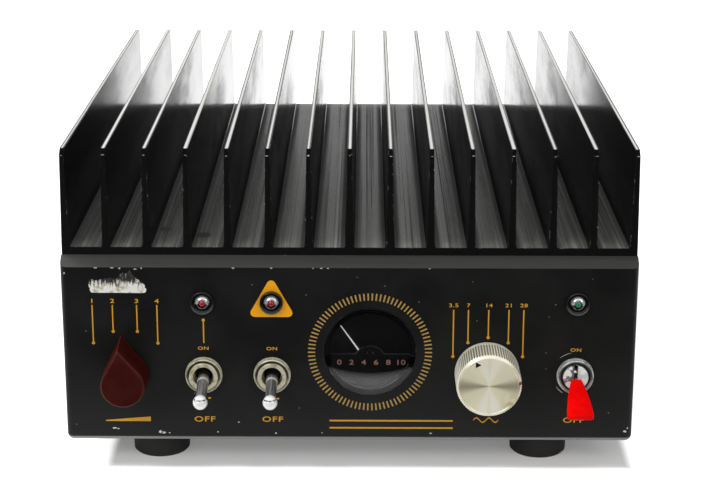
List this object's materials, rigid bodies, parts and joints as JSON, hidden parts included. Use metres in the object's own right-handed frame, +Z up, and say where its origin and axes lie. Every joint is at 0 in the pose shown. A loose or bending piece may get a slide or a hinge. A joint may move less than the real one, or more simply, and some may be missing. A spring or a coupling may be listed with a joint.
{
  "type": "hf linear amplifier",
  "caption": "Table-top HF linear amplifier: finned heat sink on a low steel case, front panel with a level knob, toggle switches, round meter, band knob and signal lamps.",
  "frame": {"origin": "on the surface under the feet, below the middle of the whole outline", "axes": "+X to the right seen from the front, +Y to the back, +Z up"},
  "size_m": [0.2276, 0.3074, 0.1295],
  "materials": {
    "black_anodised": "black anodised, semi-gloss",
    "black_panel": "matte black paint",
    "black_case": "satin black paint",
    "zinc_sheet": "zinc plated",
    "rubber": "black rubber",
    "steel_screw": "blackened zinc",
    "nickel": "aged nickel plate",
    "bright_nickel": "bright nickel plate",
    "black_moulding": "black phenolic",
    "red_paddle": "saturated red plastic",
    "maroon_knob": "maroon phenolic",
    "spun_aluminium": "turned and clear lacquered",
    "wafer_board": "paper phenolic",
    "red_lens": "tinted red epoxy",
    "green_lens": "tinted green epoxy",
    "clear_lens": "clear acrylic",
    "dial_black": "matte black dial",
    "iron": "soft iron",
    "copper_coil": "enamelled copper",
    "needle_white": "white painted aluminium",
    "gold_contact": "gold flashed brass",
    "white_insulator": "white plastic",
    "circuit_board": "green glass-epoxy board",
    "ceramic": "white ceramic cap on a gold flange",
    "ferrite": "grey ferrite and brass tube",
    "toroid": "red powdered iron with enamelled wire",
    "relay_cover": "dark blue cover",
    "can": "dark blue sleeve"
  },
  "bodies": {
    "case": {"heat_sink": "black_anodised", "front_panel": "black_panel", "front_chassis": "zinc_sheet", "rear_panel": "black_case", "bottom_cover": "black_case", "side_rails": "zinc_sheet", "rubber_feet": "rubber", "foot_screws": "steel_screw", "machine_screws": "steel_screw", "rx_switch_body": "black_moulding", "mode_switch_body": "black_moulding", "power_switch_body": "black_moulding", "rx_switch_bushing": "nickel", "mode_switch_bushing": "nickel", "power_switch_bushing": "bright_nickel", "switch_washers": "nickel", "panel_nuts": "nickel", "lever_pins": "steel_screw", "level_switch_body": "black_moulding", "band_switch_frame": "zinc_sheet", "band_switch_wafers": "wafer_board", "lamp_bezels": "bright_nickel", "red_lamps": "red_lens", "green_lamp": "green_lens", "meter_lens": "clear_lens", "meter_mask": "dial_black", "meter_dial": "dial_black", "meter_housing": "black_moulding", "meter_movement": "iron", "antenna_socket": "bright_nickel", "input_socket": "bright_nickel", "socket_screws": "steel_screw", "socket_contacts": "gold_contact", "jack_insulators": "white_insulator", "phono_jacks": "bright_nickel", "terminal_studs": "gold_contact", "terminal_insulators": "black_moulding", "terminal_nuts": "bright_nickel", "pa_board": "circuit_board", "rf_transistors": "ceramic", "input_transformer": "ferrite", "output_transformer": "ferrite", "board_spacers": "bright_nickel", "filter_board": "circuit_board", "filter_coils": "toroid", "relays": "relay_cover", "capacitors": "can", "control_board": "circuit_board"},
    "rx_lever": {"rx_switch_lever": "bright_nickel"},
    "mode_lever": {"mode_switch_lever": "bright_nickel"},
    "power_lever": {"power_switch_lever": "bright_nickel", "power_switch_paddle": "red_paddle"},
    "level_control": {"level_knob": "maroon_knob", "level_shaft": "bright_nickel"},
    "band_control": {"band_knob": "spun_aluminium", "band_set_screw": "steel_screw", "band_shaft": "bright_nickel", "band_rotors": "wafer_board"},
    "meter_pointer": {"meter_needle": "needle_white", "meter_coil": "copper_coil"}
  },
  "joints": [
    {"name": "rx_lever_tip", "type": "hinge", "parent": "case", "child": "rx_lever", "pos_m": [-0.05805, -0.12702, 0.0386], "axis": [-1, 0, 0], "range_deg": [0, 24]},
    {"name": "mode_lever_tip", "type": "hinge", "parent": "case", "child": "mode_lever", "pos_m": [-0.0308, -0.12702, 0.0386], "axis": [-1, 0, 0], "range_deg": [0, 24]},
    {"name": "power_lever_tip", "type": "hinge", "parent": "case", "child": "power_lever", "pos_m": [0.09, -0.12702, 0.0386], "axis": [-1, 0, 0], "range_deg": [0, 36]},
    {"name": "level_turn", "type": "hinge", "parent": "case", "child": "level_control", "pos_m": [-0.0888, -0.12952, 0.0388], "axis": [0, 1, 0], "range_deg": [-30, 60]},
    {"name": "band_turn", "type": "hinge", "parent": "case", "child": "band_control", "pos_m": [0.05479, -0.12952, 0.0399], "axis": [0, 1, 0], "range_deg": [-30, 90]},
    {"name": "needle_swing", "type": "hinge", "parent": "case", "child": "meter_pointer", "pos_m": [0.0082, -0.12032, 0.0395], "axis": [0, 1, 0], "range_deg": [0, 70], "stiffness_Nm_per_rad": 0.0004}
  ]
}
